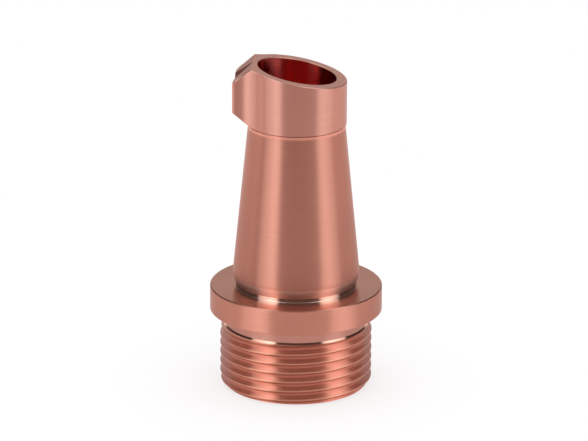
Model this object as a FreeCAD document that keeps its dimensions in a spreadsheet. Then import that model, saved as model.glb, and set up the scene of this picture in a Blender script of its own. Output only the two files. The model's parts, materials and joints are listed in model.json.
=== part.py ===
import FreeCAD, Part
import os
import Sketcher

# Laser welding nozzle with a wire guide nose, turned and milled from one piece of copper.
# It stands on its threaded end: Z is its axis, and z = 0 is its lower end face.
# The nose that carries the filler wire points along -X.

# Driving sizes in millimetres and degrees. Lengths along the axis are stacked one on the
# other from the lower end face, so each can change by itself.
SIZES = {
    # fastening end: M16 x 1 thread, run-out relief and flange
    "thread_diameter": 15.9,
    "thread_length": 6.74,
    "thread_chamfer": 0.6,
    "thread_runout": 0.65,
    "relief_diameter": 14.92,
    "relief_width": 1.36,
    "flange_diameter": 18.0,
    "flange_thickness": 2.7,
    "flange_edge": 0.1,
    # tapered body, with its foot and neck measured up from the flange
    "neck_diameter": 12.7,
    "neck_height": 0.27,
    "neck_fillet": 0.1,
    "foot_diameter": 13.28,
    "foot_height": 1.3,
    "foot_round": 2.6,
    "body_height": 17.15,
    "body_top_diameter": 10.14,
    # collar round the outlet, cut off at a slant; its height is taken on the axis
    "undercut_height": 0.42,
    "collar_diameter": 10.34,
    "collar_height": 5.51,
    "tip_slant": 10.6,
    # nose beside the outlet, measured out from the axis
    "nose_reach": 6.5,
    "nose_width": 5.5,
    "nose_flank_radius": 4.0,
    "nose_underside": 42.0,
    "nose_face_start": 4.6,
    "nose_face_slope": 40.0,
    "nose_edge": 0.25,
    # wire groove in the nose
    "groove_start": 4.5,
    "groove_slope": 60.0,
    "groove_angle": 110.0,
    # passage for the beam and the gas
    "inlet_diameter": 12.0,
    "inlet_chamfer": 0.3,
    "inlet_depth": 7.0,
    "outlet_diameter": 8.16,
    "outlet_length": 5.88,
    # bar left round the nose and above the outlet before they are milled
    "bar_allowance": 0.45,
}

# Places that follow from the driving sizes, as expressions over the sheet.
FLANGE_BOTTOM = "(Sizes.thread_length + Sizes.relief_width)"
FLANGE_TOP = "(%s + Sizes.flange_thickness)" % FLANGE_BOTTOM
BODY_TOP = "(%s + Sizes.body_height)" % FLANGE_TOP
COLLAR_BOTTOM = "(%s + Sizes.undercut_height)" % BODY_TOP
TIP = "(%s + Sizes.collar_height)" % COLLAR_BOTTOM
SLANT = "tan(Sizes.tip_slant * 1 deg)"
NOSE_CORNER = "sqrt(pow(Sizes.nose_reach; 2) + pow(Sizes.nose_width / 2; 2))"
BAR_RADIUS = "(%s + Sizes.bar_allowance)" % NOSE_CORNER
BAR_TOP = "(%s + %s * %s + Sizes.bar_allowance)" % (TIP, BAR_RADIUS, SLANT)
FACE_EDGE = "(%s + Sizes.nose_face_start * %s)" % (TIP, SLANT)

# How near an edge must lie to its nominal place to be picked, in millimetres.
PICK = 0.001

doc = FreeCAD.newDocument("laser_welding_nozzle")
sheet = doc.addObject("Spreadsheet::Sheet", "Sizes")
for row, (name, value) in enumerate(SIZES.items(), start=1):
    sheet.set("A%d" % row, name)
    sheet.set("B%d" % row, str(value))
    sheet.setAlias("B%d" % row, name)
doc.recompute()

body = doc.addObject("PartDesign::Body", "Nozzle")
body.Label = "nozzle"
body.Placement = FreeCAD.Placement()


def value_of(expression):
    """The number that an expression over the sheet gives."""
    result = sheet.evalExpression(expression)
    return float(getattr(result, "Value", result))


def origin_plane(role):
    """One of the body's own origin planes."""
    return next(plane for plane in body.Origin.OriginFeatures if plane.Role == role)


def new_sketch(name, role):
    """An empty sketch on an origin plane of the body."""
    sketch = body.newObject("Sketcher::SketchObject", name)
    sketch.AttachmentSupport = (origin_plane(role), [""])
    sketch.MapMode = "FlatFace"
    return sketch


def tie(sketch, kind, references, expression):
    """Adds a dimension to a sketch and binds it to an expression over the sheet."""
    index = sketch.addConstraint(Sketcher.Constraint(kind, *references, value_of(expression)))
    sketch.setExpression("Constraints[%d]" % index, expression)


def tie_point(sketch, geometry, across, up):
    """Ties the start of a line to the origin by its distances across and up.

    A distance of "0" puts the point on the axis, and a leading minus sign
    measures towards the origin instead of away from it.
    """
    for kind, axis, expression in (("DistanceX", -2, across), ("DistanceY", -1, up)):
        if expression == "0":
            sketch.addConstraint(Sketcher.Constraint("PointOnObject", geometry, 1, axis))
        elif expression.startswith("-"):
            tie(sketch, kind, (geometry, 1, -1, 1), expression[1:])
        else:
            tie(sketch, kind, (-1, 1, geometry, 1), expression)


def outline(sketch, corners):
    """Closed outline of straight lines through corners given as pairs of expressions."""
    points = []
    for across, up in corners:
        points.append(FreeCAD.Vector(value_of(across), value_of(up), 0))
    for here, there in zip(points, points[1:] + points[:1]):
        sketch.addGeometry(Part.LineSegment(here, there), False)
    for number in range(len(corners)):
        following = (number + 1) % len(corners)
        sketch.addConstraint(Sketcher.Constraint("Coincident", number, 2, following, 1))
    for number, (across, up) in enumerate(corners):
        tie_point(sketch, number, across, up)


def circle_edges(feature, diameter, height):
    """Names of a feature's round edges of one diameter at one height."""
    names = []
    for number, edge in enumerate(feature.Shape.Edges, start=1):
        if not isinstance(edge.Curve, Part.Circle):
            continue
        off_size = abs(edge.Curve.Radius - diameter / 2)
        off_height = abs(edge.Curve.Center.z - height)
        if off_size < PICK and off_height < PICK:
            names.append("Edge%d" % number)
    return names


def edge_break(kind, name, base, edges, expression):
    """Fillet or chamfer of one bound size on named edges of the last feature."""
    feature = body.newObject("PartDesign::" + kind, name)
    feature.Base = (base, edges)
    size_name = "Radius" if kind == "Fillet" else "Size"
    feature.setExpression(size_name, expression)
    doc.recompute()
    return feature


# Turning: half of the section, from the axis outwards, with the passage already bored.
# The top is left as a plain disc of bar, wide enough for the nose.
turned_half = new_sketch("TurnedHalf", "XZ_Plane")
outline(turned_half, [
    ("Sizes.inlet_diameter / 2 + Sizes.inlet_chamfer", "0"),
    ("Sizes.thread_diameter / 2 - Sizes.thread_chamfer", "0"),
    ("Sizes.thread_diameter / 2", "Sizes.thread_chamfer"),
    ("Sizes.thread_diameter / 2", "Sizes.thread_length - Sizes.thread_runout"),
    ("Sizes.relief_diameter / 2", "Sizes.thread_length"),
    ("Sizes.relief_diameter / 2", FLANGE_BOTTOM),
    ("Sizes.flange_diameter / 2", FLANGE_BOTTOM),
    ("Sizes.flange_diameter / 2", FLANGE_TOP),
    ("Sizes.neck_diameter / 2", FLANGE_TOP),
    ("Sizes.neck_diameter / 2", FLANGE_TOP + " + Sizes.neck_height"),
    ("Sizes.foot_diameter / 2", FLANGE_TOP + " + Sizes.foot_height"),
    ("Sizes.body_top_diameter / 2", BODY_TOP),
    ("Sizes.collar_diameter / 2", COLLAR_BOTTOM),
    (BAR_RADIUS,
     "%s + (%s - Sizes.collar_diameter / 2) * tan(Sizes.nose_underside * 1 deg)"
     % (COLLAR_BOTTOM, BAR_RADIUS)),
    (BAR_RADIUS, BAR_TOP),
    ("Sizes.outlet_diameter / 2", BAR_TOP),
    ("Sizes.outlet_diameter / 2", TIP + " - Sizes.outlet_length"),
    ("Sizes.inlet_diameter / 2", "Sizes.inlet_depth"),
    ("Sizes.inlet_diameter / 2", "Sizes.inlet_chamfer"),
])
turned = body.newObject("PartDesign::Revolution", "Turned")
turned.Profile = turned_half
turned.ReferenceAxis = (turned_half, ["V_Axis"])
turned.Angle = 360
doc.recompute()

# Edges left by the turning tool: both rims of the flange, the corner at the neck
# and the soft shoulder where the taper ends above it.
flange_diameter = value_of("Sizes.flange_diameter")
flange_top = value_of(FLANGE_TOP)
flange_rims = circle_edges(turned, flange_diameter, flange_top)
flange_rims += circle_edges(turned, flange_diameter, value_of(FLANGE_BOTTOM))
rims = edge_break("Chamfer", "FlangeRims", turned, flange_rims, "Sizes.flange_edge")

shoulder_height = value_of(FLANGE_TOP + " + Sizes.foot_height")
shoulder = circle_edges(rims, value_of("Sizes.foot_diameter"), shoulder_height)
foot = edge_break("Fillet", "FootRound", rims, shoulder, "Sizes.foot_round")

corner = circle_edges(foot, value_of("Sizes.neck_diameter"), flange_top)
neck = edge_break("Fillet", "NeckFillet", foot, corner, "Sizes.neck_fillet")

# Milling: the disc is cut away all round, and the collar and the nose are left standing.
# The nose has parallel flanks that run into the collar through the radius of the cutter.
collar_radius = value_of("Sizes.collar_diameter / 2")
flank_radius = value_of("Sizes.nose_flank_radius")
half_width = value_of("Sizes.nose_width / 2")
reach = value_of("Sizes.nose_reach")
flank_centre_y = half_width + flank_radius
flank_centre_x = -((collar_radius + flank_radius) ** 2 - flank_centre_y ** 2) ** 0.5
touch = collar_radius / (collar_radius + flank_radius)

plan = new_sketch("CollarAndNose", "XY_Plane")
plan.setExpression("AttachmentOffset.Base.z", BODY_TOP)
upright = FreeCAD.Vector(0, 0, 1)
centre = FreeCAD.Vector(0, 0, 0)
upper_centre = FreeCAD.Vector(flank_centre_x, flank_centre_y, 0)
lower_centre = FreeCAD.Vector(flank_centre_x, -flank_centre_y, 0)


def arc_between(middle, radius, start, end):
    """Arc about a middle point that runs anticlockwise from start to end."""
    circle = Part.Circle(middle, upright, radius)
    return Part.ArcOfCircle(circle, circle.parameter(start), circle.parameter(end))


upper_touch = upper_centre * touch
lower_touch = lower_centre * touch
upper_root = FreeCAD.Vector(flank_centre_x, half_width, 0)
lower_root = FreeCAD.Vector(flank_centre_x, -half_width, 0)
upper_corner = FreeCAD.Vector(-reach, half_width, 0)
lower_corner = FreeCAD.Vector(-reach, -half_width, 0)

chips = plan.addGeometry(Part.Circle(centre, upright, 2 * value_of(BAR_RADIUS)), False)
collar = plan.addGeometry(arc_between(centre, collar_radius, lower_touch, upper_touch), False)
upper_arc = plan.addGeometry(arc_between(upper_centre, flank_radius, upper_root, upper_touch), False)
lower_arc = plan.addGeometry(arc_between(lower_centre, flank_radius, lower_touch, lower_root), False)
upper_flank = plan.addGeometry(Part.LineSegment(upper_root, upper_corner), False)
nose_end = plan.addGeometry(Part.LineSegment(upper_corner, lower_corner), False)
lower_flank = plan.addGeometry(Part.LineSegment(lower_corner, lower_root), False)

plan.addConstraint([
    Sketcher.Constraint("Coincident", chips, 3, -1, 1),
    Sketcher.Constraint("Coincident", collar, 3, -1, 1),
    Sketcher.Constraint("Tangent", collar, 2, upper_arc, 2),
    Sketcher.Constraint("Tangent", collar, 1, lower_arc, 1),
    Sketcher.Constraint("Tangent", upper_arc, 1, upper_flank, 1),
    Sketcher.Constraint("Tangent", lower_arc, 2, lower_flank, 2),
    Sketcher.Constraint("Coincident", upper_flank, 2, nose_end, 1),
    Sketcher.Constraint("Coincident", nose_end, 2, lower_flank, 1),
    Sketcher.Constraint("Horizontal", upper_flank),
    Sketcher.Constraint("Horizontal", lower_flank),
    Sketcher.Constraint("Vertical", nose_end),
])
tie(plan, "Radius", (chips,), "2 * " + BAR_RADIUS)
tie(plan, "Radius", (collar,), "Sizes.collar_diameter / 2")
tie(plan, "Radius", (upper_arc,), "Sizes.nose_flank_radius")
tie(plan, "Radius", (lower_arc,), "Sizes.nose_flank_radius")
tie(plan, "DistanceY", (-1, 1, nose_end, 1), "Sizes.nose_width / 2")
tie(plan, "DistanceY", (nose_end, 2, -1, 1), "Sizes.nose_width / 2")
tie(plan, "DistanceX", (nose_end, 1, -1, 1), "Sizes.nose_reach")

milled = body.newObject("PartDesign::Pocket", "Milled")
milled.Profile = plan
milled.Type = 1
milled.Reversed = True
doc.recompute()

# The outlet is cut off at a slant, high at the nose, and the nose falls away from it
# along a steeper face.
tip_cut = new_sketch("TipCut", "XZ_Plane")
outline(tip_cut, [
    ("2 * " + BAR_RADIUS, "%s - 2 * %s * %s" % (TIP, BAR_RADIUS, SLANT)),
    ("2 * " + BAR_RADIUS, "2 * " + BAR_TOP),
    ("-2 * " + BAR_RADIUS, "2 * " + BAR_TOP),
    ("-2 * " + BAR_RADIUS,
     "%s - (2 * %s - Sizes.nose_face_start) * tan(Sizes.nose_face_slope * 1 deg)"
     % (FACE_EDGE, BAR_RADIUS)),
    ("-Sizes.nose_face_start", FACE_EDGE),
])
slanted = body.newObject("PartDesign::Pocket", "Slanted")
slanted.Profile = tip_cut
slanted.Type = 1
slanted.Midplane = True
doc.recompute()

# The groove is a V whose bottom leaves the outlet's rim and falls more steeply than the
# face, so it widens and deepens outwards. Its sketch stands square to its bottom line.
vee = new_sketch("Vee", "XY_Plane")
across_nose = FreeCAD.Vector(0, 1, 0)
tilt = 90 - value_of("Sizes.groove_slope")
vee.AttachmentOffset = FreeCAD.Placement(centre, FreeCAD.Rotation(across_nose, tilt))
vee.setExpression("AttachmentOffset.Rotation.Angle", "90 deg - Sizes.groove_slope * 1 deg")
vee.setExpression("AttachmentOffset.Base.x", "-Sizes.groove_start")
vee.setExpression("AttachmentOffset.Base.z", "%s + Sizes.groove_start * %s" % (TIP, SLANT))
outline(vee, [
    ("0", "0"),
    ("-2 * " + BAR_RADIUS, "2 * %s * tan(Sizes.groove_angle / 2 * 1 deg)" % BAR_RADIUS),
    ("-2 * " + BAR_RADIUS, "-2 * %s * tan(Sizes.groove_angle / 2 * 1 deg)" % BAR_RADIUS),
])
grooved = body.newObject("PartDesign::Pocket", "Grooved")
grooved.Profile = vee
grooved.Type = 1
grooved.Midplane = True
doc.recompute()


def nose_end_edges(feature):
    """Names of the two upright edges at the end of the nose."""
    names = []
    for number, edge in enumerate(feature.Shape.Edges, start=1):
        first = edge.Vertexes[0].Point
        last = edge.Vertexes[-1].Point
        off_reach = max(abs(first.x + reach), abs(last.x + reach))
        off_side = max(abs(abs(first.y) - half_width), abs(abs(last.y) - half_width))
        if off_reach < PICK and off_side < PICK and abs(first.y - last.y) < PICK:
            names.append("Edge%d" % number)
    return names


finished = edge_break("Chamfer", "NoseEdges", grooved, nose_end_edges(grooved), "Sizes.nose_edge")
body.Tip = finished
doc.recompute()

# Nothing is written unless every feature was built and the nozzle is one sound solid.
for item in doc.Objects:
    if "Invalid" in item.State or "Error" in item.State:
        raise RuntimeError("%s could not be built" % item.Label)
nozzle = body.Shape
if nozzle.isNull() or not nozzle.isValid() or len(nozzle.Solids) != 1:
    raise RuntimeError("%s is not one sound solid" % body.Label)

os.makedirs("parts", exist_ok=True)
nozzle.exportStep("parts/%s.step" % body.Label)
box = nozzle.optimalBoundingBox()
print("%s: %.1f mm3, %.3f x %.3f x %.3f mm" % (
    body.Label, nozzle.Volume, box.XLength, box.YLength, box.ZLength))
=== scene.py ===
# %% [markdown]
# # A copper nozzle for hand-held laser welding
# The real nozzle is turned on a lathe from one bar of copper, and its wire guide nose is
# milled. This lesson dresses the solid of the same nozzle: it works out the skin of the
# piece with its real thread and its small edge breaks, gives it turned copper finishes,
# and sets up the camera and the light of a plain product picture.

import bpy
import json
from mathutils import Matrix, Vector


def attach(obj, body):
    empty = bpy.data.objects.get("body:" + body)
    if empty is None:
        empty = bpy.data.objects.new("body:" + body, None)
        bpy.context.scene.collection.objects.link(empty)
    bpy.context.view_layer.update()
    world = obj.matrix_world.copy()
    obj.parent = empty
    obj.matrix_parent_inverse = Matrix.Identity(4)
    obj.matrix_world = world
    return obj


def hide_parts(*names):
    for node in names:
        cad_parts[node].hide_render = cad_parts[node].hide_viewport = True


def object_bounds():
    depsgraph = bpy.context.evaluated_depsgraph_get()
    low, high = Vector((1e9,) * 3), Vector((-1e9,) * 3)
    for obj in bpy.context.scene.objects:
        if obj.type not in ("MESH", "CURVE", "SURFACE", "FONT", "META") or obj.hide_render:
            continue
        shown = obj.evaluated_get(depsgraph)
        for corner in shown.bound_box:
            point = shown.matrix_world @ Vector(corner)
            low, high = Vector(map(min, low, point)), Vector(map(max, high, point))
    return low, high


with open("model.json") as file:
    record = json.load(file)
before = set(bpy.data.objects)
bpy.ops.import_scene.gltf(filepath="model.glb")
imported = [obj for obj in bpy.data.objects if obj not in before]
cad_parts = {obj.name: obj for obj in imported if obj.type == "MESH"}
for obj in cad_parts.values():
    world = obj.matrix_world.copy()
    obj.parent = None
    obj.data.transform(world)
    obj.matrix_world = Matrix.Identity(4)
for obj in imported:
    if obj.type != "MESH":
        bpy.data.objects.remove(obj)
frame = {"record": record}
cad_low, cad_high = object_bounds()
print("solid from", tuple(cad_low), "to", tuple(cad_high))

# %% Tools of this lesson
import json
import math

import bmesh
import bpy
import numpy as np
from mathutils import Matrix, Vector

MM = 0.001
scene = bpy.context.scene
scene.view_settings.view_transform = "Standard"

# %% [markdown]
# ## The sizes
# A maker reads the sizes off the drawing. Here the diameters come from the solid's box
# and from the interfaces that its record states, and the rest are the drawing's own
# lengths. Everything is in millimetres until the mesh is made. Distances "towards the
# nose" are measured from the axis along -X.

# %% Sizes of the nozzle
mounts = {mount["name"]: mount for mount in frame["record"]["mounts"]}
THREAD_R = mounts["thread"]["dims"]["r_mm"]
INLET_R = mounts["inlet"]["dims"]["r_mm"]
OUTLET_R = mounts["outlet"]["dims"]["r_mm"]
FLANGE_R = cad_high.x / MM

PITCH = 1.0
THREAD_DEPTH = 0.53
THREAD_END = 6.74
THREAD_RUNOUT = 0.65
THREAD_CHAMFER = 0.6
CREST_AT_NOSE = 0.37
RELIEF_R = 7.46
RING_HEIGHT = 0.2
RING_WIDTH = 0.115
FLANGE_LOW = 8.1
FLANGE_TOP = 10.8
FLANGE_EDGE = 0.1
NECK_R = 6.35
NECK_TOP = 11.2
NECK_FILLET = 0.04
FOOT_R = 6.64
FOOT_Z = 12.1
FOOT_ROUND = 2.6
BODY_TOP_R = 5.07
BODY_TOP = 27.95
SEAM_HEIGHT = 0.11
SEAM_DEPTH = 0.05
COLLAR_R = 5.17
COLLAR_LOW = 28.37
NOSE_UNDERSIDE = math.tan(math.radians(42.0))
TIP_Z = 33.88
INLET_CHAMFER = 0.3
INLET_TOP = 7.0
OUTLET_LOW = 28.0
EDGE_BREAK = 0.04
print("thread radius", THREAD_R, "flange radius", round(FLANGE_R, 3))

# %% [markdown]
# ## The angles of the grid
# The whole skin is one grid: its columns are angles round the axis and its rows follow
# the outline. A collar with a nose is no circle, so the columns also stand exactly at
# the corners of the nose. Angle zero points at the nose.

# %% Nose outline seen from above
NOSE_REACH = 6.5
NOSE_HALF = 2.75
NOSE_EDGE = 0.25
FLANK_R = 4.0
SLANT = math.tan(math.radians(10.6))
FACE_START = 4.6
FACE_FALL = math.tan(math.radians(40.0))
GROOVE_START = 4.5
GROOVE_SLOPE = math.radians(60.0)
GROOVE_FALL = math.tan(GROOVE_SLOPE)
GROOVE_HALF_ANGLE = math.radians(55.0)
GROOVE_SPREAD = 1 / (math.tan(GROOVE_HALF_ANGLE) * math.cos(GROOVE_SLOPE))

flank_centre_y = NOSE_HALF + FLANK_R
flank_centre_x = math.sqrt((COLLAR_R + FLANK_R) ** 2 - flank_centre_y ** 2)
END_CORNER = math.atan2(NOSE_HALF - NOSE_EDGE, NOSE_REACH)
FLANK_CORNER = math.atan2(NOSE_HALF, NOSE_REACH - NOSE_EDGE)
FLANK_ROOT = math.atan2(NOSE_HALF, flank_centre_x)
FLANK_TOUCH = math.atan2(flank_centre_y, flank_centre_x)
corners = (END_CORNER, FLANK_CORNER, FLANK_TOUCH)
print("nose corners at", [round(math.degrees(corner), 2) for corner in corners])


def outline_radius(angle):
    """Distance from the axis to the collar and nose wall.

    In order away from the nose: the flat end, r = reach / cos a; the broken corner, a
    line at 45 degrees; the flank, r = half width / sin a; the hollow left by the cutter,
    the near crossing of the ray with the cutter's circle; and the round collar.
    """
    a = np.abs(angle)
    end = NOSE_REACH / np.cos(a)
    corner = (NOSE_REACH + NOSE_HALF - NOSE_EDGE) / (np.cos(a) + np.sin(a))
    flank = NOSE_HALF / np.maximum(np.sin(a), 1e-9)
    along = flank_centre_x * np.cos(a) + flank_centre_y * np.sin(a)
    reach = flank_centre_x ** 2 + flank_centre_y ** 2 - FLANK_R ** 2
    hollow = along - np.sqrt(np.maximum(along ** 2 - reach, 0))
    steps = [a <= END_CORNER, a <= FLANK_CORNER, a <= FLANK_ROOT, a <= FLANK_TOUCH]
    return np.select(steps, [end, corner, flank, hollow], COLLAR_R)


# %% [markdown]
# ## The slanted top
# The outlet is cut off at a slant, the nose falls away along a steeper face, and a V
# groove for the wire runs down that face. All three are planes, so the top is simply
# the lowest of them at every place. Where a ray from the axis crosses from one plane to
# the next is worked out in closed form, so the creases fall on rows of the grid.

# %% Height of the top, and its creases
FACE_BASE = TIP_Z + FACE_START * (SLANT + FACE_FALL)
GROOVE_BASE = TIP_Z + GROOVE_START * (SLANT + GROOVE_FALL)


def top_height(radius, angle):
    """The lowest of the slanted tip, the nose's face and the two walls of the groove."""
    out = radius * np.cos(angle)
    side = radius * np.abs(np.sin(angle))
    tip = TIP_Z + out * SLANT
    face = FACE_BASE - out * FACE_FALL
    groove = GROOVE_BASE - out * GROOVE_FALL + side * GROOVE_SPREAD
    return np.minimum(tip, np.minimum(face, groove))


def crossing(rise, run):
    """Radius rise / run where two planes meet along a ray, or very far if they never do."""
    return np.where(run > 1e-6, rise / np.maximum(run, 1e-6), 1e3)


def creases(angle):
    """Radii at which a ray leaves the tip and at which it enters the groove."""
    out, side = np.cos(angle), np.abs(np.sin(angle))
    tip_face = crossing(FACE_START, out)
    spread = side * GROOVE_SPREAD
    tip_groove = crossing(GROOVE_BASE - TIP_Z, out * (SLANT + GROOVE_FALL) - spread)
    face_groove = crossing(GROOVE_BASE - FACE_BASE, out * (GROOVE_FALL - FACE_FALL) - spread)
    leaves = np.minimum(tip_face, tip_groove)
    enters = np.where(tip_groove < tip_face, leaves, np.maximum(face_groove, leaves))
    return leaves, enters


HALVINGS = 60


def angle_where(difference, low, high):
    """Angle between low and high where a falling or rising difference is zero, by halving."""
    sign = difference(low) > 0
    for _ in range(HALVINGS):
        middle = (low + high) / 2
        if (difference(middle) > 0) == sign:
            low = middle
        else:
            high = middle
    return (low + high) / 2


def tip_then_groove(angle):
    """Above zero while the ray enters the groove straight from the tip."""
    out, side = math.cos(angle), math.sin(angle)
    run = out * (SLANT + GROOVE_FALL) - side * GROOVE_SPREAD
    return FACE_START / out - (GROOVE_BASE - TIP_Z) / run


def inside_outline(which):
    """Above zero while that crease still lies inside the nose's outline."""
    return lambda angle: float(outline_radius(np.array(angle)) - creases(np.array(angle))[which])


# Each search starts from two rough angles, one on either side of the place.
MOUTH = angle_where(tip_then_groove, 0.0, math.radians(10))
GROOVE_EDGE = angle_where(inside_outline(1), MOUTH, math.radians(22))
FACE_EDGE = angle_where(inside_outline(0), math.radians(24), math.radians(60))
print("groove opens from", round(math.degrees(MOUTH), 2), "to", round(math.degrees(GROOVE_EDGE), 2),
      "and the face ends at", round(math.degrees(FACE_EDGE), 2), "degrees")

# %% Columns of the grid
STEPS_ROUND = 288
TOO_CLOSE = math.radians(0.3)
corner_angles = np.array([
    END_CORNER, FLANK_CORNER, FLANK_ROOT, FLANK_TOUCH, MOUTH, GROOVE_EDGE, FACE_EDGE,
])
corner_angles = np.concatenate([corner_angles, -corner_angles])
even = np.linspace(-math.pi, math.pi, STEPS_ROUND + 1)
kept = np.abs(even[:, None] - corner_angles).min(axis=1) > TOO_CLOSE
turn = np.sort(np.concatenate([even[kept], corner_angles]))
print(len(turn), "columns")

# %% [markdown]
# ## The outline of the lathe work
# Everything below the collar was cut by a tool that follows one outline while the bar
# turns. An outline is a list of corners, and some corners are rounded by an arc that
# touches both sides. Straight stretches get extra rows close to their ends, so that the
# smooth shading of a fillet does not bleed into the flat beside it.

# %% Outline helpers
ARC_STEPS = 8
LONG_STRETCH = 0.3
STRAIGHT = np.array([0.0, 0.015, 0.12, 0.37, 0.63, 0.88, 0.985])


def rounded(corners, radii):
    """Corners as an array, with each one that has a radius replaced by its arc.

    The arc's centre lies on the bisector, at radius / sin(half the corner's angle), and
    its ends lie at radius / tan(half the angle) from the corner.
    """
    points = []
    for number, corner in enumerate(corners):
        if radii.get(number, 0) == 0:
            points.append(np.array([corner]))
            continue
        here = np.array(corner)
        back = np.array(corners[number - 1]) - here
        ahead = np.array(corners[number + 1]) - here
        back, ahead = back / np.hypot(*back), ahead / np.hypot(*ahead)
        half = math.acos(float(np.clip(back @ ahead, -1, 1))) / 2
        middle = (back + ahead) / np.hypot(*(back + ahead))
        centre = here + middle * radii[number] / math.sin(half)
        first = here + back * radii[number] / math.tan(half) - centre
        last = here + ahead * radii[number] / math.tan(half) - centre
        start = math.atan2(first[1], first[0])
        sweep = math.remainder(math.atan2(last[1], last[0]) - start, 2 * math.pi)
        angles = start + sweep * np.linspace(0, 1, ARC_STEPS + 1)
        points.append(centre + radii[number] * np.column_stack([np.cos(angles), np.sin(angles)]))
    return np.vstack(points)


def with_rows(points):
    """The points with rows added on every long stretch, at the STRAIGHT shares of it."""
    rows = []
    for here, there in zip(points[:-1], points[1:]):
        steps = STRAIGHT if np.hypot(*(there - here)) > LONG_STRETCH else STRAIGHT[:1]
        rows.append(here + steps[:, None] * (there - here))
    return np.vstack(rows + [points[-1:]])


def all_round(value):
    """The same radius or height at every column."""
    return value + 0 * turn


def ring_rows(points):
    """Radius and height of every row and column of a surface that is round."""
    return all_round(points[:, :1]), all_round(points[:, 1:])


def sloping_rows(radius_a, height_a, radius_b, height_b, shares):
    """Rows between two edges given as a radius and a height for each column."""
    share = np.asarray(shares)[:, None]
    return radius_a + (radius_b - radius_a) * share, height_a + (height_b - height_a) * share


# %% [markdown]
# ## The thread
# An M16 x 1 thread is a V of 60 degrees that climbs one millimetre a turn. It could be
# made with a Screw modifier, but its two ends, where it runs out into the relief and is
# chamfered at the entry, need cutting. Here each row climbs with the helix, and rows
# that would leave the threaded length are held at its ends, so both ends come out
# exactly flat. The radius is the smallest of the thread form and of the cone at each end.
# A low ring, where the tool left the last turn, leads down to the relief.

# %% Thread surface
CREST_FLAT = PITCH / 16  # from the middle of a crest, which is an eighth of the pitch wide
RUNOUT_SLOPE = (THREAD_R - RELIEF_R) / THREAD_RUNOUT
FLANK_SLOPE = 1 / math.tan(math.radians(30))
SOFT_CORNER = 0.03
HALF_FORM = np.array([0.0, 0.045, 0.0625, 0.078, 0.12, 0.2, 0.28, 0.35, 0.385, 0.43])
FORM = np.concatenate([HALF_FORM, [0.5], 1 - HALF_FORM[:0:-1]])


def thread_radius(angle, height):
    """Crest radius less the depth of the V there, never deeper than the rounded root.

    The depth's two corners are softened: in place of the larger of a value and zero
    stands half the sum of the value and the root of its square plus a small square.
    """
    phase = (height - CREST_AT_NOSE) / PITCH - angle / (2 * math.pi)
    off_crest = np.abs((phase + 0.5) % 1 - 0.5) * PITCH
    flank = (off_crest - CREST_FLAT) * FLANK_SLOPE
    depth = (flank + np.sqrt(flank ** 2 + SOFT_CORNER ** 2)) / 2
    short = THREAD_DEPTH - depth
    depth = THREAD_DEPTH - (short + np.sqrt(short ** 2 + SOFT_CORNER ** 2)) / 2
    form = THREAD_R - np.maximum(depth, 0)
    entry = THREAD_R - THREAD_CHAMFER + height
    leaving = RELIEF_R + RUNOUT_SLOPE * (THREAD_END - height)
    return np.minimum(form, np.minimum(entry, leaving))


RING_BELOW_END = 0.75
turns = math.ceil(THREAD_END / PITCH) + 1
climb = (np.arange(-1, turns)[:, None] + FORM).ravel() * PITCH + CREST_AT_NOSE
climb_form = np.tile(FORM, turns + 1)
thread_top = THREAD_END - RING_HEIGHT * RING_BELOW_END
thread_z = np.clip(climb[:, None] + PITCH * turn / (2 * math.pi), 0, thread_top)
thread_r = thread_radius(turn, thread_z)
thread_r = np.where(thread_z >= thread_top, RELIEF_R + RING_WIDTH, thread_r)
print("thread rows", len(climb), "radius", thread_r.min().round(3), "to", thread_r.max().round(3))

# %% Relief, flange, neck, foot and body
RING_SHARES = [0, 0.15, 0.85, 1]
ring_top = thread_top + RING_HEIGHT
ring_low_edge = all_round(RELIEF_R + RING_WIDTH), all_round(thread_top)
ring_top_edge = all_round(RELIEF_R), all_round(ring_top)
relief_points = with_rows(np.array([(RELIEF_R, ring_top), (RELIEF_R, FLANGE_LOW)]))
flange_points = with_rows(np.array([
    (RELIEF_R, FLANGE_LOW),
    (FLANGE_R - FLANGE_EDGE, FLANGE_LOW),
    (FLANGE_R, FLANGE_LOW + FLANGE_EDGE),
    (FLANGE_R, FLANGE_TOP - FLANGE_EDGE),
    (FLANGE_R - FLANGE_EDGE, FLANGE_TOP),
]))
neck_points = with_rows(rounded([
    (FLANGE_R - FLANGE_EDGE, FLANGE_TOP),
    (NECK_R, FLANGE_TOP),
    (NECK_R, NECK_TOP),
], {1: NECK_FILLET}))
FLANGE_TOP_ROWS = len(STRAIGHT)
body_points = with_rows(rounded([
    (NECK_R, NECK_TOP),
    (FOOT_R, FOOT_Z),
    (BODY_TOP_R, BODY_TOP),
], {1: FOOT_ROUND}))
foot_rows = int(np.sum(body_points[:, 1] < FOOT_Z)) + 1
BAND_TOP_R = BODY_TOP_R + 0.02
SEAM_CORNERS = (0.8, 0.2)
band_points = with_rows(np.array([
    (BODY_TOP_R, BODY_TOP),
    (BAND_TOP_R, COLLAR_LOW - SEAM_HEIGHT),
]))
seam_points = np.array([
    (BAND_TOP_R, COLLAR_LOW - SEAM_HEIGHT),
    *[(BODY_TOP_R - SEAM_DEPTH, COLLAR_LOW - SEAM_HEIGHT * share) for share in SEAM_CORNERS],
    (COLLAR_R, COLLAR_LOW),
])
print(len(flange_points) + len(neck_points) + len(body_points), "rows of lathe work")

# %% Collar, nose, top and passage
wall = outline_radius(turn)
under = COLLAR_LOW + (wall - COLLAR_R) * NOSE_UNDERSIDE
wall_top = top_height(wall, turn) - EDGE_BREAK
rim_outer = wall - EDGE_BREAK
rim_inner = all_round(OUTLET_R + EDGE_BREAK)
leaves, enters = creases(turn)
leaves, enters = np.minimum(leaves, rim_outer), np.minimum(enters, rim_outer)


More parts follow.
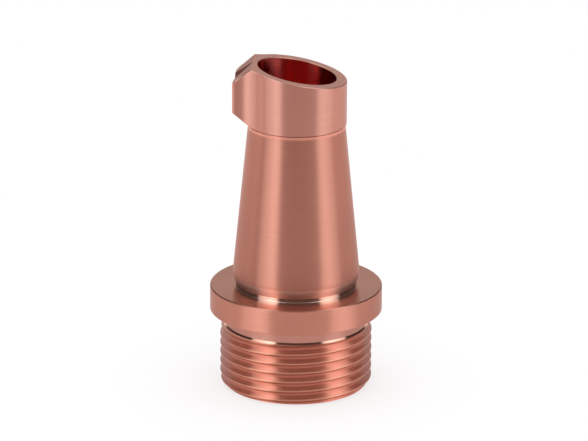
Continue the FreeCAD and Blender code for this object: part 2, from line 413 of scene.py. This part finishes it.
def top_rows(start, end, shares):
    """Rows of the top between two radii, at the height of the lowest plane."""
    radius = start + (end - start) * np.asarray(shares)[:, None]
    return radius, top_height(radius, turn)


EVEN = np.linspace(0, 1, 5)
EDGE_SHARES = [0, 1]
END_SHARES = [0, 0.5, 1]
bore_top_edge = all_round(OUTLET_R), top_height(OUTLET_R, turn) - EDGE_BREAK
bore_low_edge = all_round(OUTLET_R), all_round(OUTLET_LOW)
passage_points = with_rows(np.array([
    (OUTLET_R, OUTLET_LOW),
    (INLET_R, INLET_TOP),
    (INLET_R, INLET_CHAMFER),
    (INLET_R + INLET_CHAMFER, 0),
]))
end_inner_edge = all_round(INLET_R + INLET_CHAMFER), all_round(0)
end_outer_edge = thread_radius(turn, all_round(0)), all_round(0)

# %% [markdown]
# ## One closed skin
# The surfaces are stacked as bands of rows, from the thread up the outside, over the
# rim and down the passage back to the lower end, so that every face points outwards.
# The last row meets the first one and the last column meets the first one. Merging the
# doubled points then closes the skin into one piece, as the real one is. Each row of
# faces has one finish. On the thread the finish follows the form: the crests get a paler
# copy of the copper as a painted highlight, and the lower flanks, which the room hardly
# lights, a darker copy as painted shade.

# %% Stack the bands
bands = [
    ("thread", thread_r, thread_z),
    ("ring", *sloping_rows(*ring_low_edge, *ring_top_edge, RING_SHARES)),
    ("relief", *ring_rows(relief_points)),
    ("flange", *ring_rows(flange_points)),
    ("faced", *ring_rows(neck_points[:FLANGE_TOP_ROWS + 1])),
    ("polished", *ring_rows(neck_points[FLANGE_TOP_ROWS:])),
    ("foot", *ring_rows(body_points[:foot_rows])),
    ("turned", *ring_rows(body_points[foot_rows - 1:])),
    ("band", *ring_rows(band_points)),
    ("seam", *ring_rows(seam_points)),
    ("turned", *sloping_rows(all_round(COLLAR_R), all_round(COLLAR_LOW), wall, under, EVEN)),
    ("collar", *sloping_rows(wall, under, wall, wall_top, STRAIGHT)),
    ("rim", *sloping_rows(wall, wall_top, rim_outer, top_height(rim_outer, turn), EDGE_SHARES)),
    ("milled", *top_rows(rim_outer, enters, EVEN)),
    ("milled", *top_rows(enters, leaves, EVEN)),
    ("rim", *top_rows(leaves, rim_inner, EVEN)),
    ("rim", *sloping_rows(rim_inner, top_height(rim_inner, turn), *bore_top_edge, EDGE_SHARES)),
    ("bore", *sloping_rows(*bore_top_edge, *bore_low_edge, STRAIGHT)),
    ("bore", *ring_rows(passage_points)),
    ("turned", *sloping_rows(*end_inner_edge, *end_outer_edge, END_SHARES)),
]
FINISHES = [
    "turned", "flange", "band", "seam", "collar", "polished", "faced", "ring", "relief",
    "thread", "crest", "shaded", "foot", "rim", "milled", "bore",
]
band_r = np.vstack([band[1] for band in bands] + [bands[0][1][:1]])
band_z = np.vstack([band[2] for band in bands] + [bands[0][2][:1]])
row_finish = np.repeat(
    [FINISHES.index(band[0]) for band in bands], [len(band[1]) for band in bands])
LOWER_FLANK = 0.55
CREST_FROM = 0.93
CREST_TO = 0.07
thread_finish = row_finish[:len(climb_form)]
# Painted shade: rows on the lower flanks get a darker copy of the thread's copper.
thread_finish[climb_form >= LOWER_FLANK] = FINISHES.index("shaded")
# Painted highlight: rows on the crests get a paler copy of the thread's copper.
thread_finish[(climb_form >= CREST_FROM) | (climb_form < CREST_TO)] = FINISHES.index("crest")
print("grid of", band_r.shape, "points")

# %% Make one closed mesh of the grid
def grid_mesh(name, radius, height, angle, finish_of_row):
    """Mesh of a grid, each point at (-r cos a, -r sin a, z), with one finish per row."""
    rows, columns = radius.shape
    points = np.stack([-radius * np.cos(angle), -radius * np.sin(angle), height], axis=-1) * MM
    index = np.arange(rows * columns).reshape(rows, columns)
    quads = np.stack([index[:-1, :-1], index[:-1, 1:], index[1:, 1:], index[1:, :-1]], axis=-1)
    mesh = bpy.data.meshes.new(name)
    mesh.from_pydata(points.reshape(-1, 3).tolist(), [], quads.reshape(-1, 4).tolist())
    finish_of_face = np.repeat(finish_of_row, columns - 1).astype(np.int32)
    mesh.polygons.foreach_set("material_index", finish_of_face)
    return mesh


def close_skin(mesh, distance):
    """Merges doubled points and removes the faces that had no area. Returns the open edges."""
    work = bmesh.new()
    work.from_mesh(mesh)
    bmesh.ops.remove_doubles(work, verts=work.verts, dist=distance)
    bmesh.ops.dissolve_degenerate(work, edges=work.edges, dist=distance)
    open_edges = sum(1 for edge in work.edges if len(edge.link_faces) != 2)
    work.to_mesh(mesh)
    work.free()
    return open_edges


MERGE_DISTANCE = 0.0015 * MM
SHARP_FROM = math.radians(24)
nozzle_mesh = grid_mesh("nozzle_skin", band_r, band_z, turn, row_finish)
open_edges = close_skin(nozzle_mesh, MERGE_DISTANCE)
nozzle_mesh.shade_smooth()
nozzle_mesh.set_sharp_from_angle(angle=SHARP_FROM)
nozzle = bpy.data.objects.new("nozzle_skin", nozzle_mesh)
scene.collection.objects.link(nozzle)
print("faces", len(nozzle_mesh.polygons), "edges left open", open_edges)

# %% [markdown]
# ## Turned copper
# A turning tool leaves fine rings. They scatter the light across themselves and hardly
# along themselves, so a lamp is drawn out into a stripe along the nozzle while its
# sides stay sharp. The shader does this with anisotropy and a tangent round the axis,
# and noise that is read from the height and the radius only draws the rings themselves.
# Polished copper is pale. Satin copper looks deeper, because light bounces about in the
# fine grooves and takes the colour of copper more than once. The bore is painted a deep
# red, which stands in for the shade and the many bounces of light deep in the passage.
# The flange's top is faced: its rings lie flat round the axis and draw a highlight out
# towards the rim. The thread's flanks are burnished round, so they catch the light almost
# as an upright wall does, with a clear shine on top.

# %% Colours and tool marks of copper
SATIN = (0.73, 0.288, 0.21)
COLLAR = (0.75, 0.32, 0.247)
POLISHED = (0.97, 0.80, 0.73)
FACED = (0.82, 0.39, 0.29)
# Painted light: the rounded foot is a paler copy of the body's copper, so its strips come out
# brighter.
FOOT_PAINTED_LIGHT = (0.82, 0.44, 0.36)
# Painted shade: the relief wall under the flange is a darker copy of the copper.
RELIEF_PAINTED_SHADE = (0.60, 0.27, 0.21)
THREADED = (0.90, 0.27, 0.175)
RIM = (0.96, 0.45, 0.35)
# Painted shade: the bore's deep red, and its red glancing tint below, stand in for the shade and the
# many bounces of light deep in the passage.
BORE_PAINTED_SHADE = (0.88, 0.13, 0.11)
EDGE_TINT = (1.0, 0.93, 0.90)
BORE_PAINTED_SHADE_EDGE = (0.9, 0.3, 0.25)
RINGS_PER_METRE = 7000
RING_BUMP = 0.000004
CLOUDS_PER_METRE = 260
CLOUD_SHARE = 0.35
ACROSS_RINGS = 0.01
ALONG_RINGS = 0.25
SMOOTHEST = 0.02
COAT_ROUGHNESS = 0.12
print("rings to the millimetre", RINGS_PER_METRE * MM)

# %% The copper shader
def times(colour, factor):
    """The colour made lighter or darker by a factor, with each channel at most 1."""
    return tuple(min(channel * factor, 1.0) for channel in colour)


def copper(name, colour, roughness, stretch=1.0, edge=EDGE_TINT, ring_depth=0.6, ring_tone=0.13,
           spread=0.04, upright=1.0, lean=0.0, coat=0.0, coat_ior=1.5):
    """Bare copper with rings cut by the tool.

    stretch says how far a highlight is drawn out across the rings, edge is the colour of
    a glancing reflection, ring_depth is the bump's strength, ring_tone how much lighter
    and darker than the colour the rings are, and spread how much the roughness changes
    from ring to ring. upright is the share of the surface's tilt that the light sees:
    less than 1 where small rounded forms catch it almost as an upright wall does, and
    lean how far that wall leans back. coat is a clear shine over the colour, and
    coat_ior how strong that shine is.
    """
    material = bpy.data.materials.new(name)
    material.use_nodes = True
    nodes, links = material.node_tree.nodes, material.node_tree.links
    shader = nodes["Principled BSDF"]
    shader.inputs["Metallic"].default_value = 1.0
    shader.inputs["Anisotropic"].default_value = stretch
    shader.inputs["Anisotropic Rotation"].default_value = ALONG_RINGS
    shader.inputs["Specular Tint"].default_value = (*edge, 1)
    shader.inputs["Coat Weight"].default_value = coat
    shader.inputs["Coat Roughness"].default_value = COAT_ROUGHNESS
    shader.inputs["Coat IOR"].default_value = coat_ior

    place = nodes.new("ShaderNodeTexCoord")
    round_axis = nodes.new("ShaderNodeVectorMath")
    round_axis.operation = "MULTIPLY"
    round_axis.inputs[1].default_value = (1, 1, 0)
    radius = nodes.new("ShaderNodeVectorMath")
    radius.operation = "LENGTH"
    slow = nodes.new("ShaderNodeVectorMath")
    slow.operation = "MULTIPLY"
    slow.inputs[1].default_value = (ACROSS_RINGS, ACROSS_RINGS, 1)
    sideways = nodes.new("ShaderNodeCombineXYZ")
    ring_place = nodes.new("ShaderNodeVectorMath")
    ring_place.operation = "ADD"
    links.new(place.outputs["Object"], round_axis.inputs[0])
    links.new(round_axis.outputs[0], radius.inputs[0])
    links.new(place.outputs["Object"], slow.inputs[0])
    links.new(radius.outputs["Value"], sideways.inputs["X"])
    links.new(slow.outputs[0], ring_place.inputs[0])
    links.new(sideways.outputs[0], ring_place.inputs[1])

    rings = nodes.new("ShaderNodeTexNoise")
    rings.inputs["Scale"].default_value = RINGS_PER_METRE
    rings.inputs["Detail"].default_value = 2
    links.new(ring_place.outputs[0], rings.inputs["Vector"])
    bump = nodes.new("ShaderNodeBump")
    bump.inputs["Strength"].default_value = ring_depth
    bump.inputs["Distance"].default_value = RING_BUMP
    links.new(rings.outputs["Fac"], bump.inputs["Height"])
    if upright < 1:
        surface = nodes.new("ShaderNodeNewGeometry")
        flatter = nodes.new("ShaderNodeVectorMath")
        flatter.operation = "MULTIPLY"
        flatter.inputs[1].default_value = (1, 1, upright)
        straight = nodes.new("ShaderNodeVectorMath")
        straight.operation = "NORMALIZE"
        leaning = nodes.new("ShaderNodeVectorMath")
        leaning.operation = "ADD"
        leaning.inputs[1].default_value = (0, 0, lean)
        links.new(surface.outputs["Normal"], flatter.inputs[0])
        links.new(flatter.outputs[0], leaning.inputs[0])
        links.new(leaning.outputs[0], straight.inputs[0])
        links.new(straight.outputs[0], bump.inputs["Normal"])
    links.new(bump.outputs[0], shader.inputs["Normal"])
    links.new(bump.outputs[0], shader.inputs["Coat Normal"])

    rough = nodes.new("ShaderNodeMapRange")
    rough.inputs["To Min"].default_value = max(roughness - spread, SMOOTHEST)
    rough.inputs["To Max"].default_value = roughness + spread
    links.new(rings.outputs["Fac"], rough.inputs["Value"])
    links.new(rough.outputs[0], shader.inputs["Roughness"])

    cloud = nodes.new("ShaderNodeTexNoise")
    cloud.inputs["Scale"].default_value = CLOUDS_PER_METRE
    links.new(place.outputs["Object"], cloud.inputs["Vector"])
    blend = nodes.new("ShaderNodeMix")
    blend.inputs["Factor"].default_value = CLOUD_SHARE
    links.new(rings.outputs["Fac"], blend.inputs["A"])
    links.new(cloud.outputs["Fac"], blend.inputs["B"])
    tint = nodes.new("ShaderNodeMix")
    tint.data_type = "RGBA"
    tint.inputs["A"].default_value = (*times(colour, 1 - ring_tone), 1)
    tint.inputs["B"].default_value = (*times(colour, 1 + ring_tone), 1)
    links.new(blend.outputs["Result"], tint.inputs["Factor"])
    links.new(tint.outputs["Result"], shader.inputs["Base Color"])

    tangent = nodes.new("ShaderNodeTangent")
    tangent.direction_type = "RADIAL"
    tangent.axis = "Z"
    links.new(tangent.outputs[0], shader.inputs["Tangent"])
    return material


# %% The finishes of the zones
FINE_FACING = dict(ring_depth=0.2, ring_tone=0.06, spread=0.02)
FLATTENED = dict(roughness=0.38, ring_depth=0.3, upright=0.12, lean=0.1)
MILLED_MARKS = dict(ring_depth=0.3, ring_tone=0.1)
finishes = {
    "turned": copper("turned_copper", SATIN, roughness=0.36),
    "flange": copper("flange_copper", SATIN, roughness=0.32),
    "band": copper("band_copper", times(SATIN, 1.2), roughness=0.3),
    # Painted shade: the small groove under the collar is a darker copy of the satin copper.
    "seam": copper("seam_copper", times(SATIN, 0.8), roughness=0.4),
    "collar": copper("collar_copper", COLLAR, roughness=0.34),
    "polished": copper("polished_copper", POLISHED, roughness=0.08, stretch=0.3,
                       ring_depth=0.1, ring_tone=0.03, spread=0.01),
    "faced": copper("faced_copper", FACED, roughness=0.22, stretch=0.93, **FINE_FACING),
    "ring": copper("ring_copper", FACED, roughness=0.1, stretch=0.4, **FINE_FACING),
    # Painted shade: darker copper on the relief wall under the flange.
    "relief": copper("relief_copper", RELIEF_PAINTED_SHADE, roughness=0.25, ring_depth=0.3, ring_tone=0.08),
    "thread": copper("thread_copper", THREADED, ring_tone=0.1, coat=0.5, **FLATTENED),
    # Painted highlight: a paler copy of the thread's copper along the crests.
    "crest": copper("crest_copper", times(THREADED, 1.4), coat=0.5, **FLATTENED),
    # Painted shade: a darker copy of the thread's copper on the lower flanks.
    "shaded": copper("shaded_copper", times(THREADED, 0.6), **FLATTENED),
    # Painted light: the foot's paler copy of the copper.
    "foot": copper("foot_copper", FOOT_PAINTED_LIGHT, roughness=0.3, ring_depth=0.4),
    "rim": copper("rim_copper", RIM, roughness=0.28, stretch=0.4, **MILLED_MARKS),
    "milled": copper("milled_copper", times(SATIN, 1.15), roughness=0.32, stretch=0.2, **MILLED_MARKS),
    # Painted shade: the bore's deep red colour and red glancing tint.
    "bore": copper("bored_copper", BORE_PAINTED_SHADE, roughness=0.2, edge=BORE_PAINTED_SHADE_EDGE,
                   ring_depth=0.3, coat=1.0, coat_ior=2.1),
}
for finish in FINISHES:
    nozzle_mesh.materials.append(finishes[finish])
print("finishes", [material.name for material in nozzle_mesh.materials])

# %% Put the skin on the solid
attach(nozzle, "root")
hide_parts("nozzle")

# %% [markdown]
# ## The camera
# A long lens from about half a metre, 18 degrees above the nozzle. The nose points a
# little away from the camera, which is the same as walking round the nozzle by four
# degrees. The distance and the lens give the photograph's scale: pixels per tangent is
# how many pixels of the image stand for a slope of one at the lens.

# %% Camera
VIEW_TURN = math.radians(3.9)
VIEW_DOWN = 0.3183
VIEW_ROLL = 0.0043
VIEW_DISTANCE = 0.450
VIEW_SIDE = -0.000245
VIEW_HEIGHT = 0.01768
IMAGE_WIDTH = 588
SENSOR = 36.0
PIXELS_PER_TANGENT = 4320.19

turned_view = Matrix.Rotation(VIEW_TURN, 3, "Z")
target = turned_view @ Vector((VIEW_SIDE, 0, VIEW_HEIGHT))
back = turned_view @ Vector((0, -math.cos(VIEW_DOWN), math.sin(VIEW_DOWN)))
lens = bpy.data.cameras.new("camera")
lens.sensor_width = SENSOR
lens.lens = PIXELS_PER_TANGENT / IMAGE_WIDTH * SENSOR
lens.clip_start = 0.01
lens.clip_end = 10
camera = bpy.data.objects.new("camera", lens)
scene.collection.objects.link(camera)
camera.location = target + back * VIEW_DISTANCE
facing = (-back).to_track_quat("-Z", "Y").to_matrix() @ Matrix.Rotation(VIEW_ROLL, 3, "Z")
camera.rotation_euler = facing.to_euler()
scene.camera = camera
print("lens", round(lens.lens, 1), "mm")

# %% [markdown]
# ## Light for bare metal
# Bare metal has no colour of its own light: it shows the room. Product photographers
# put it in a white tent with two soft boxes and a dark card in front, where the camera
# looks in, because the dark stripe between two bright ones is what makes a cylinder
# look round. The tent here is a shell that only reflections see, painted by direction:
# one row of levels round the nozzle below the horizon, one above it, and one for the
# ceiling over the boxes. The paper on the floor has flags, levels by direction that only
# reflections see too. The camera sees the paper and the room plain white.

# %% Levels of the room and the paper, and helpers
FLOOR_RADIUS = 0.07
PAPER_TONE = 0.4
ROOM_LEVEL = 0.9
PAPER_GLOW = 0.67
FLAGS = [
    (-180, 0.6), (-133, 0.52), (-108, 0.54), (-92, 0.68), (-76, 0.73), (-64, 1.03), (-46, 1.03),
    (-34, 0.94), (34, 0.94), (50, 0.98), (64, 1.03), (78, 0.66), (97, 0.6), (110, 0.52),
    (133, 0.5), (180, 0.6),
]


def seen_directly(nodes, links):
    """Socket that is 1 for rays from the camera, from a reflection and through glass."""
    path = nodes.new("ShaderNodeLightPath")
    either = nodes.new("ShaderNodeMath")
    either.operation = "MAXIMUM"
    links.new(path.outputs["Is Camera Ray"], either.inputs[0])
    links.new(path.outputs["Is Glossy Ray"], either.inputs[1])
    any_of = nodes.new("ShaderNodeMath")
    any_of.operation = "MAXIMUM"
    links.new(either.outputs[0], any_of.inputs[0])
    links.new(path.outputs["Is Transmission Ray"], any_of.inputs[1])
    return any_of.outputs[0]


def ramp(nodes, stops):
    """Colour ramp through (position, colour) stops."""
    node = nodes.new("ShaderNodeValToRGB")
    elements = node.color_ramp.elements
    while len(elements) < len(stops):
        elements.new(0.5)
    for element, (position, colour) in zip(elements, stops):
        element.position = position
        element.color = (*colour, 1)
    return node


def azimuth_share(nodes, links, axes):
    """Socket with the azimuth from the camera, as a share of a turn, from separated axes."""
    toward = nodes.new("ShaderNodeMath")
    toward.operation = "MULTIPLY"
    toward.inputs[1].default_value = -1
    azimuth = nodes.new("ShaderNodeMath")
    azimuth.operation = "ARCTAN2"
    share = nodes.new("ShaderNodeMapRange")
    share.inputs["From Min"].default_value = -math.pi
    share.inputs["From Max"].default_value = math.pi
    links.new(axes.outputs["Y"], toward.inputs[0])
    links.new(axes.outputs["X"], azimuth.inputs[0])
    links.new(toward.outputs[0], azimuth.inputs[1])
    links.new(azimuth.outputs[0], share.inputs["Value"])
    return share.outputs[0]


# %% World
world = bpy.data.worlds.new("white_room")
scene.world = world
world.use_nodes = True
world_nodes, world_links = world.node_tree.nodes, world.node_tree.links
level = world_nodes.new("ShaderNodeMapRange")
level.inputs["To Min"].default_value = ROOM_LEVEL
level.inputs["To Max"].default_value = 1.0
world_links.new(seen_directly(world_nodes, world_links), level.inputs["Value"])
world_nodes["Background"].inputs["Color"].default_value = (1, 1, 1, 1)
world_links.new(level.outputs[0], world_nodes["Background"].inputs["Strength"])

print("room level", ROOM_LEVEL)

# %% Floor
SIDES = 96
floor_mesh = bpy.data.meshes.new("floor")
around = np.linspace(0, 2 * math.pi, SIDES + 1)[:-1]
rim_points = np.column_stack([np.cos(around), np.sin(around), 0 * around]) * FLOOR_RADIUS
floor_mesh.from_pydata(rim_points.tolist(), [], [list(range(len(around)))])
floor = bpy.data.objects.new("floor", floor_mesh)
scene.collection.objects.link(floor)
floor.rotation_euler = (0, 0, VIEW_TURN)

paper = bpy.data.materials.new("white_paper")
paper.use_nodes = True
paper_nodes, paper_links = paper.node_tree.nodes, paper.node_tree.links
paper_nodes.clear()
output = paper_nodes.new("ShaderNodeOutputMaterial")
matt = paper_nodes.new("ShaderNodeBsdfDiffuse")
matt.inputs["Color"].default_value = (*(PAPER_TONE,) * 3, 1)
glow = paper_nodes.new("ShaderNodeEmission")
glow_level = paper_nodes.new("ShaderNodeMath")
glow_level.operation = "MULTIPLY"
glow_level.inputs[1].default_value = PAPER_GLOW
paper_links.new(seen_directly(paper_nodes, paper_links), glow_level.inputs[0])
paper_links.new(glow_level.outputs[0], glow.inputs["Strength"])
paper_place = paper_nodes.new("ShaderNodeTexCoord")
paper_axes = paper_nodes.new("ShaderNodeSeparateXYZ")
paper_links.new(paper_place.outputs["Object"], paper_axes.inputs[0])
flags = ramp(paper_nodes, [((degrees + 180) / 360, (value,) * 3) for degrees, value in FLAGS])
paper_links.new(azimuth_share(paper_nodes, paper_links, paper_axes), flags.inputs["Fac"])
plain_or_flags = paper_nodes.new("ShaderNodeMixRGB")
plain_or_flags.inputs["Color1"].default_value = (1, 1, 1, 1)
paper_path = paper_nodes.new("ShaderNodeLightPath")
paper_links.new(paper_path.outputs["Is Glossy Ray"], plain_or_flags.inputs["Fac"])
paper_links.new(flags.outputs["Color"], plain_or_flags.inputs["Color2"])
paper_links.new(plain_or_flags.outputs["Color"], glow.inputs["Color"])
both = paper_nodes.new("ShaderNodeAddShader")
paper_links.new(matt.outputs[0], both.inputs[0])
paper_links.new(glow.outputs[0], both.inputs[1])
paper_links.new(both.outputs[0], output.inputs["Surface"])
floor_mesh.materials.append(paper)
print("floor of", len(around), "sides, radius", FLOOR_RADIUS, "m")

# %% Levels of the tent with its two soft boxes and the dark card
TENT_RADIUS = 0.4
TENT_FOOT = math.radians(-24)
BRIGHTEST = 2.6
CEILING = [
    (-180, 0.6), (-112, 0.6), (-98, 0.9), (-60, 1.5), (-40, 1.35), (-33, 0.34), (41, 0.34),
    (48, 1.35), (72, 1.5), (98, 0.9), (112, 0.6), (180, 0.6),
]
ABOVE = [
    (-180, 0.46), (-168, 0.46), (-155, 0.1), (-110, 0.06), (-77, 0.06), (-75, 1.0), (-60, 1.8),
    (-48, 2.5), (-40, 2.1), (-36, 1.3), (-33, 0.08), (44, 0.08), (48, 1.2), (55, 1.9), (63, 2.2),
    (72, 1.9), (86, 1.1), (90, 0.06), (110, 0.06), (155, 0.1), (168, 0.46), (180, 0.46),
]
BELOW = [
    (-180, 0.6), (-165, 0.95), (-135, 1.08), (-112, 1.35), (-92, 1.6), (-76, 1.15), (-60, 0.78),
    (-48, 0.78), (-38, 0.7), (-28, 0.71), (34, 0.71), (50, 0.68), (60, 0.76), (70, 0.88),
    (80, 1.25), (95, 1.6), (112, 1.4), (135, 1.08), (165, 0.95), (180, 0.6),
]
HORIZON = [(-90, 0), (-3, 0), (3, 1), (90, 1)]
BOX_TOP = [(-90, 0), (43, 0), (49, 1), (90, 1)]
COOL = (0.82, 1.0, 1.05)
ROOM_ABOVE = 0.6
ROOM_BELOW = 1.6
LAMP_BLEND = 0.3


def by_azimuth(stops, room):
    """Stops in degrees from the camera and a level, as shares of a turn and of the brightest.

    Light above the level of the room comes from a lamp, and the more so, the cooler it is.
    """
    shares = []
    for degrees, value in stops:
        lamp = min(max((value - room) / LAMP_BLEND, 0), 1)
        tint = [1 + (channel - 1) * lamp for channel in COOL]
        shares.append(((degrees + 180) / 360, tuple(value / BRIGHTEST * channel for channel in tint)))
    return shares


def by_elevation(stops):
    """Stops given in degrees above the horizon, as shares of the tent's height."""
    return [((math.sin(math.radians(degrees)) + 1) / 2, (value,) * 3) for degrees, value in stops]


# %% The tent's shell
TENT_ROWS = 40
TENT_TOP = math.pi / 2 - 0.001
tilt = np.linspace(TENT_FOOT, TENT_TOP, TENT_ROWS)[:, None]
sweep = np.linspace(0, 2 * math.pi, SIDES + 1)
tent_points = np.stack([
    np.cos(tilt) * np.cos(sweep), np.cos(tilt) * np.sin(sweep), np.sin(tilt) + 0 * sweep,
], axis=-1) * TENT_RADIUS
tent_index = np.arange(TENT_ROWS * (SIDES + 1)).reshape(TENT_ROWS, SIDES + 1)
tent_quads = np.stack([
    tent_index[:-1, :-1], tent_index[1:, :-1], tent_index[1:, 1:], tent_index[:-1, 1:],
], axis=-1)
tent_mesh = bpy.data.meshes.new("tent")
tent_mesh.from_pydata(tent_points.reshape(-1, 3).tolist(), [], tent_quads.reshape(-1, 4).tolist())
tent = bpy.data.objects.new("tent", tent_mesh)
scene.collection.objects.link(tent)
tent.location = (0, 0, VIEW_HEIGHT)
tent.rotation_euler = (0, 0, VIEW_TURN)
tent.visible_camera = False
tent.visible_diffuse = False
tent.visible_shadow = False

print("tent of", len(tent_mesh.polygons), "faces")

# %% The tent's paint
cloth = bpy.data.materials.new("tent_light")
cloth.use_nodes = True
cloth.cycles.emission_sampling = "NONE"
tent_nodes, tent_links = cloth.node_tree.nodes, cloth.node_tree.links
tent_nodes.clear()
tent_out = tent_nodes.new("ShaderNodeOutputMaterial")
tent_place = tent_nodes.new("ShaderNodeTexCoord")
tent_axes = tent_nodes.new("ShaderNodeSeparateXYZ")
tent_links.new(tent_place.outputs["Object"], tent_axes.inputs[0])
share_round = azimuth_share(tent_nodes, tent_links, tent_axes)
share_up = tent_nodes.new("ShaderNodeMapRange")
share_up.inputs["From Min"].default_value = -TENT_RADIUS
share_up.inputs["From Max"].default_value = TENT_RADIUS
tent_links.new(tent_axes.outputs["Z"], share_up.inputs["Value"])

above = ramp(tent_nodes, by_azimuth(ABOVE, ROOM_ABOVE))
below = ramp(tent_nodes, by_azimuth(BELOW, ROOM_BELOW))
ceiling = ramp(tent_nodes, by_azimuth(CEILING, ROOM_ABOVE))
heights = ramp(tent_nodes, by_elevation(HORIZON))
box_top = ramp(tent_nodes, by_elevation(BOX_TOP))
tent_links.new(share_round, above.inputs["Fac"])
tent_links.new(share_round, below.inputs["Fac"])
tent_links.new(share_round, ceiling.inputs["Fac"])
tent_links.new(share_up.outputs[0], heights.inputs["Fac"])
tent_links.new(share_up.outputs[0], box_top.inputs["Fac"])
either_side = tent_nodes.new("ShaderNodeMixRGB")
tent_links.new(heights.outputs["Color"], either_side.inputs["Fac"])
tent_links.new(below.outputs["Color"], either_side.inputs["Color1"])
tent_links.new(above.outputs["Color"], either_side.inputs["Color2"])
with_ceiling = tent_nodes.new("ShaderNodeMixRGB")
tent_links.new(box_top.outputs["Color"], with_ceiling.inputs["Fac"])
tent_links.new(either_side.outputs["Color"], with_ceiling.inputs["Color1"])
tent_links.new(ceiling.outputs["Color"], with_ceiling.inputs["Color2"])
shine = tent_nodes.new("ShaderNodeEmission")
shine.inputs["Strength"].default_value = BRIGHTEST
tent_links.new(with_ceiling.outputs["Color"], shine.inputs["Color"])
tent_links.new(shine.outputs[0], tent_out.inputs["Surface"])
tent_mesh.materials.append(cloth)
print("brightest lamp", BRIGHTEST)
